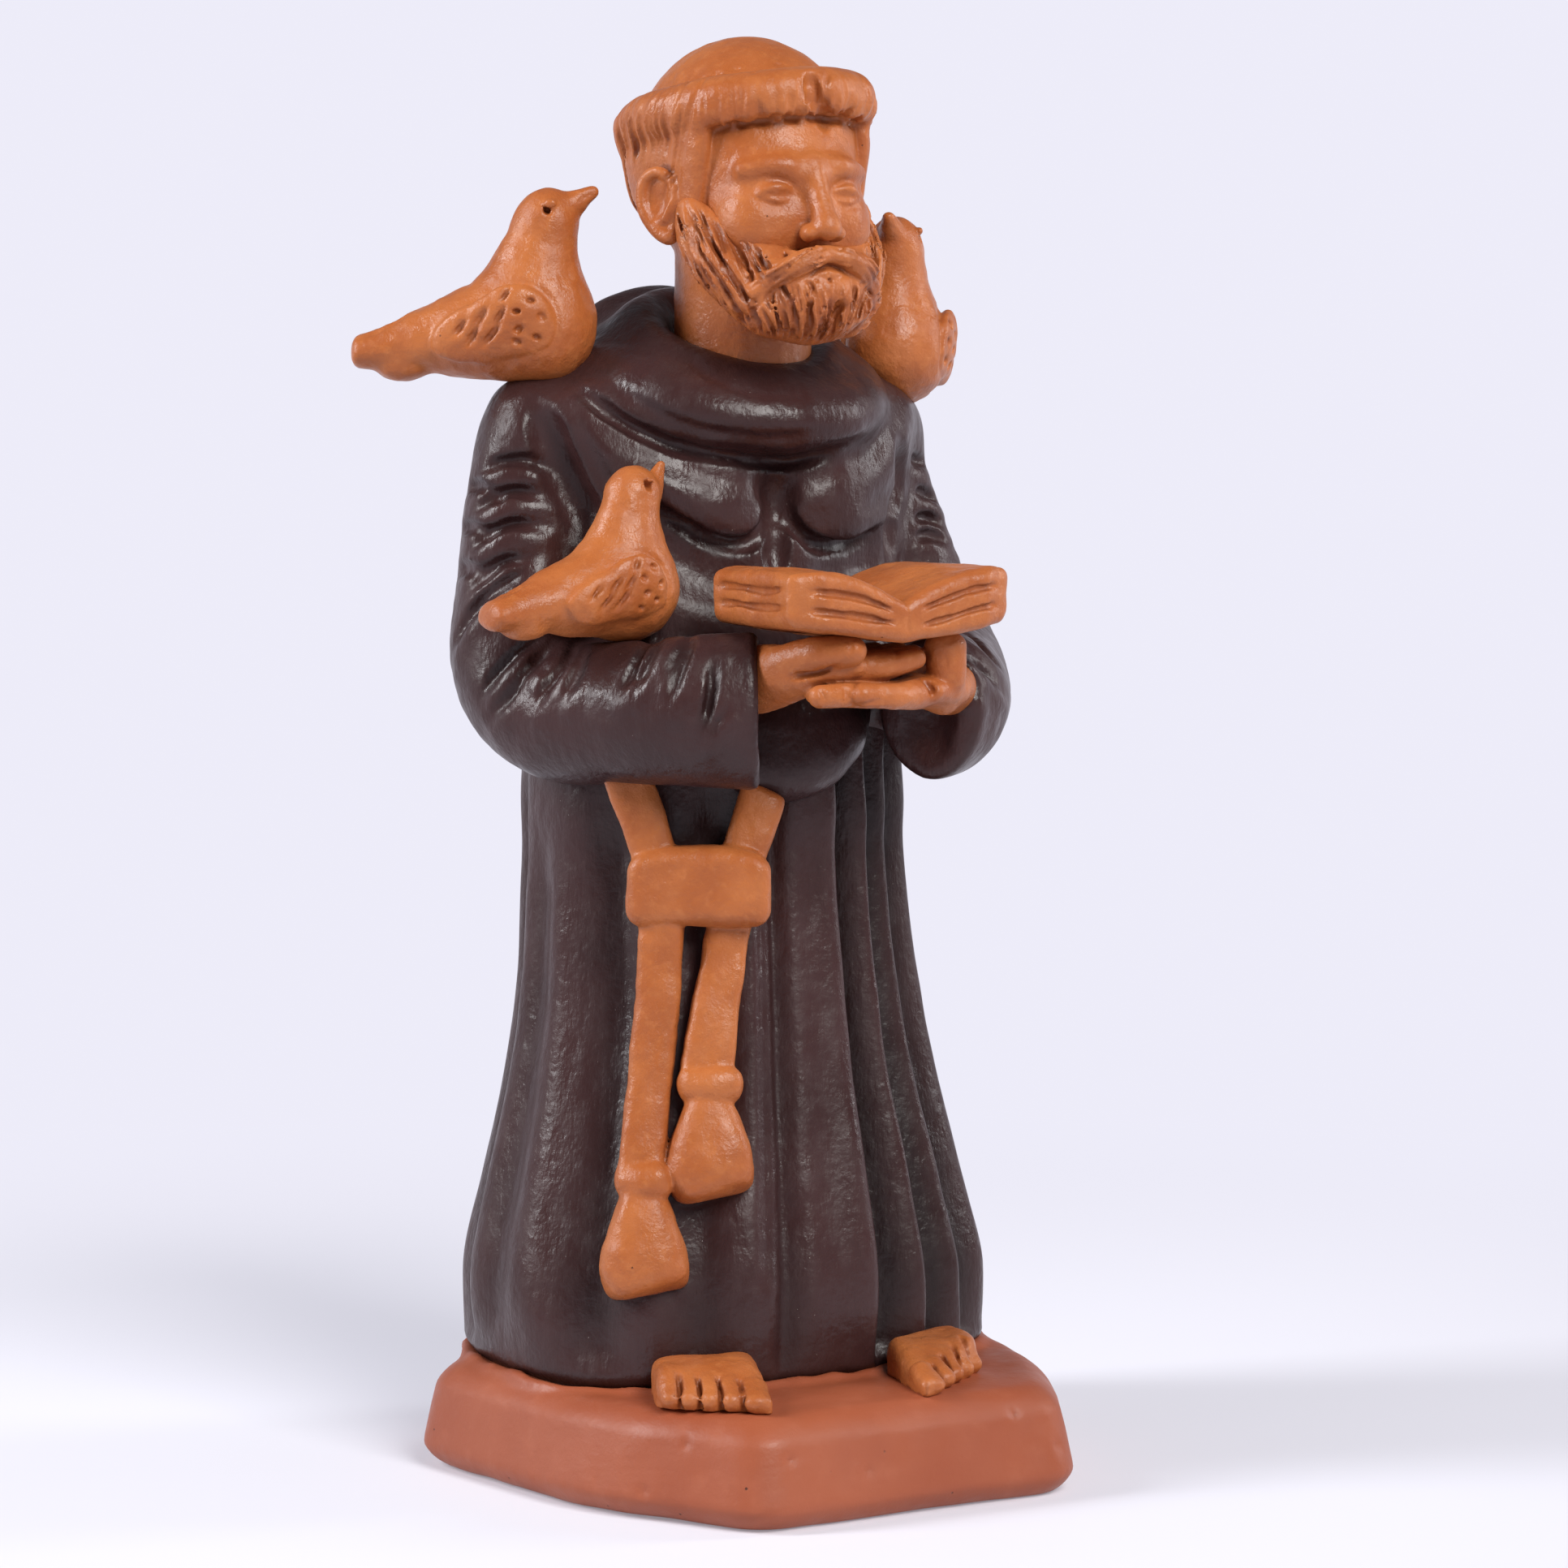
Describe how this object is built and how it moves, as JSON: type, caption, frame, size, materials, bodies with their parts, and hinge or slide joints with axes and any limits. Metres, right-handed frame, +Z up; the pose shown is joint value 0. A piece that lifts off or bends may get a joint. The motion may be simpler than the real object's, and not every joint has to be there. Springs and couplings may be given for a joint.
{
  "type": "friar statue",
  "caption": "Painted terracotta friar in a hooded habit with a rope girdle, holding an open book, with doves on shoulders and forearm, on a cut-corner plinth",
  "frame": {"origin": "middle of the plinth's underside", "axes": "+Z up; the figure faces -Y; +X is the figure's left"},
  "size_m": [0.1878, 0.1566, 0.3802],
  "materials": {
    "habit_paint": "satin",
    "clay_paint": "satin",
    "plinth_clay": "matte"
  },
  "bodies": {
    "root": {"plinth": "plinth_clay", "figure": "habit_paint", "girdle": "clay_paint", "book": "clay_paint", "right_shoulder_bird": "clay_paint", "left_shoulder_bird": "clay_paint", "right_arm_bird": "clay_paint"}
  },
  "joints": []
}
